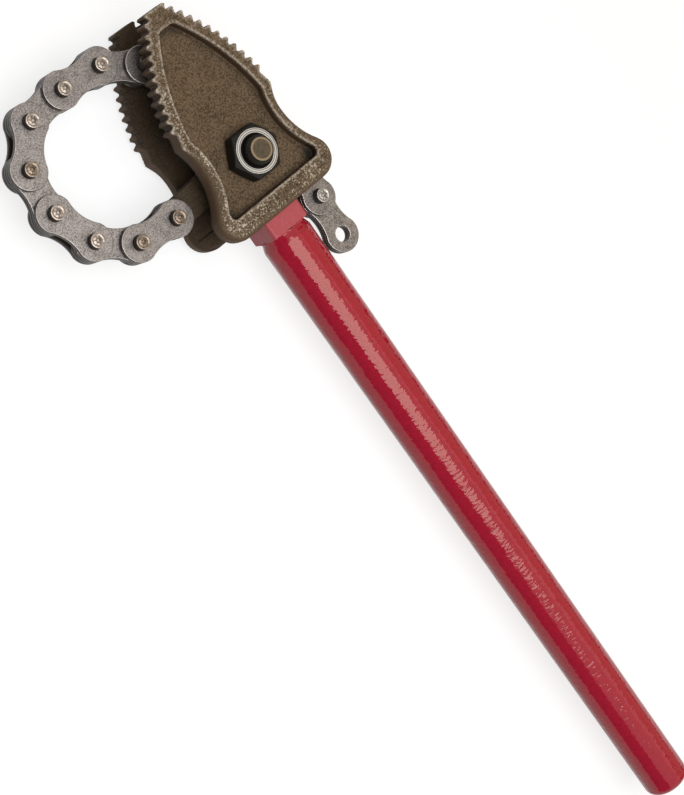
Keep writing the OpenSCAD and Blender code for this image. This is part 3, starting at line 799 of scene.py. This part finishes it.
class WRENCH_OT_set_stage(bpy.types.Operator):
    """Set the pale floor, the soft lights and the camera"""

    bl_idname = "wrench.set_stage"
    bl_label = "Set stage"

    def execute(self, context):
        look = context.scene.wrench.stage
        scene = context.scene
        scene.view_settings.view_transform = "Standard"
        self.make_room(scene, look)
        self.make_floor(look)
        self.stand_flags(look)
        self.hang_lights(look)
        self.place_camera(scene, look)
        return {"FINISHED"}

    @staticmethod
    def seen_rays(tree):
        """One where a ray from the camera, or a mirrored or passed-on one, meets the stage."""
        path = put(tree, "ShaderNodeLightPath").outputs
        seen = put(tree, "ShaderNodeMath", {0: path["Is Camera Ray"], 1: path["Is Glossy Ray"]},
                   operation="ADD")
        return put(tree, "ShaderNodeMath", {0: seen.outputs[0], 1: path["Is Transmission Ray"]},
                   operation="ADD", use_clamp=True).outputs[0]

    def make_room(self, scene, look):
        """White room that gives little light of its own."""
        scene.world = bpy.data.worlds.new("studio")
        scene.world.use_nodes = True
        tree = scene.world.node_tree
        tree.nodes.clear()
        strength = put(tree, "ShaderNodeMapRange", {"Value": self.seen_rays(tree), "To Min": look.ambient,
                                                    "To Max": 1.0})
        light = put(tree, "ShaderNodeBackground", {"Color": WHITE, "Strength": strength.outputs[0]})
        put(tree, "ShaderNodeOutputWorld", {"Surface": light.outputs[0]})

    def make_floor(self, look):
        """Matt painted board: grey to the lamps, nearly white in view, with the wrench's shadow on it."""
        material, tree = new_material("pale_floor")
        matt = put(tree, "ShaderNodeBsdfDiffuse", {"Color": look.floor})
        faint = put(tree, "ShaderNodeBsdfDiffuse", {"Color": look.shade})
        glow = put(tree, "ShaderNodeEmission", {"Color": WHITE, "Strength": look.glow})
        shown = put(tree, "ShaderNodeAddShader", {0: faint.outputs[0], 1: glow.outputs[0]})
        mixed = put(tree, "ShaderNodeMixShader",
                    {0: self.seen_rays(tree), 1: matt.outputs[0], 2: shown.outputs[0]})
        put(tree, "ShaderNodeOutputMaterial", {"Surface": mixed.outputs[0]})
        bpy.ops.object.select_all(action="DESELECT")
        bpy.ops.mesh.primitive_plane_add(size=FLOOR_SIZE, location=(0, 0, CAD_BOX[0].z))
        floor = bpy.context.active_object
        floor.name = "floor"
        give(floor, material)

    @staticmethod
    def stand_flags(look):
        """Matt cloth flags on both sides, out of view, that the glossy paint mirrors."""
        flags = (
            dict(name="black_flag", place=(-1.48, -0.5, 0.78), tilt=-55, height=1.8, cloth=look.black_cloth),
            dict(name="brown_flag", place=(1.855, -0.6, 0.87), tilt=55, height=2.1, cloth=look.brown_cloth),
        )
        for plan in flags:
            material, tree = new_material(plan["name"])
            cloth = put(tree, "ShaderNodeBsdfDiffuse", {"Color": plan["cloth"]})
            put(tree, "ShaderNodeOutputMaterial", {"Surface": cloth.outputs[0]})
            bpy.ops.object.select_all(action="DESELECT")
            bpy.ops.mesh.primitive_plane_add(size=1, location=plan["place"],
                                             rotation=(0, math.radians(plan["tilt"]), 0))
            flag = bpy.context.active_object
            flag.name = plan["name"]
            flag.scale = (plan["height"], FLAG_LENGTH, 1)
            flag.visible_camera = False
            give(flag, material)

    @staticmethod
    def hang_lights(look):
        """Round soft box over the jaws and a warm panel at the side of the chain's loose end."""
        lights = (
            dict(name="key", shape="DISK", size=(1.36, 1.36), place=(-0.29, -0.18, 1.42),
                 power=look.key_power, colour=WHITE),
            dict(name="fill", shape="RECTANGLE", size=(2.2, 1.7), place=(1.4, -0.45, 1.0),
                 power=look.fill_power, colour=look.fill_colour),
        )
        for plan in lights:
            lamp = bpy.data.lights.new(plan["name"], "AREA")
            lamp.shape = plan["shape"]
            lamp.size, lamp.size_y = plan["size"]
            lamp.energy = plan["power"]
            lamp.color = plan["colour"]
            light = bpy.data.objects.new(plan["name"], lamp)
            bpy.context.scene.collection.objects.link(light)
            light.location = plan["place"]
            light.rotation_mode = "QUATERNION"
            light.rotation_quaternion = (LIGHT_AIM - Vector(plan["place"])).to_track_quat("-Z", "Y")
            light.visible_camera = False

    @staticmethod
    def place_camera(scene, look):
        """Camera that looks down on the front jaw, rolled so that the handle runs to the lower right."""
        level, rise = math.cos(look.elevation), math.sin(look.elevation)
        back = Vector((level * math.cos(look.azimuth), level * math.sin(look.azimuth), rise))
        lens = bpy.data.cameras.new("camera")
        lens.lens = look.lens
        lens.sensor_width = look.sensor
        camera = bpy.data.objects.new("camera", lens)
        scene.collection.objects.link(camera)
        upright = (-back).to_track_quat("-Z", "Y").to_matrix().to_4x4()
        turned = upright @ Matrix.Rotation(look.roll, 4, "Z")
        camera.matrix_world = Matrix.Translation(CAMERA_AIM + back * look.distance) @ turned
        scene.camera = camera


class WRENCH_PT_looks(bpy.types.Panel):
    """Steps that dress the wrench"""

    bl_idname = "WRENCH_PT_looks"
    bl_label = "Chain pipe wrench"
    bl_space_type = "VIEW_3D"
    bl_region_type = "UI"
    bl_category = "Wrench"

    def draw(self, context):
        for step in STEPS:
            self.layout.operator(step.bl_idname)
        settings = context.scene.wrench
        for group in (settings.forging, settings.paint, settings.chain, settings.fasteners, settings.stage):
            box = self.layout.box()
            for name in group.__annotations__:
                box.prop(group, name)


STEPS = (
    WRENCH_OT_set_stage,
    WRENCH_OT_forge_jaws,
    WRENCH_OT_paint_handle,
    WRENCH_OT_finish_bolt_and_nut,
    WRENCH_OT_finish_chain_plates,
    WRENCH_OT_rivet_chain_pins,
)
GROUPS = (ForgingSettings, PaintSettings, ChainSettings, FastenerSettings, StageSettings, WrenchSettings)


def register():
    """Add the settings, the steps and the panel to Blender."""
    for part in (*GROUPS, *STEPS, WRENCH_PT_looks):
        bpy.utils.register_class(part)
    bpy.types.Scene.wrench = PointerProperty(type=WrenchSettings)


def unregister():
    """Take the settings, the steps and the panel out again."""
    del bpy.types.Scene.wrench
    for part in reversed((*GROUPS, *STEPS, WRENCH_PT_looks)):
        bpy.utils.unregister_class(part)


def main():
    """Dress the wrench step by step."""
    register()
    bpy.ops.wrench.set_stage()
    bpy.ops.wrench.forge_jaws()
    bpy.ops.wrench.paint_handle()
    bpy.ops.wrench.finish_bolt_and_nut()
    bpy.ops.wrench.finish_chain_plates()
    bpy.ops.wrench.rivet_chain_pins()


if __name__ == "__main__":
    main()
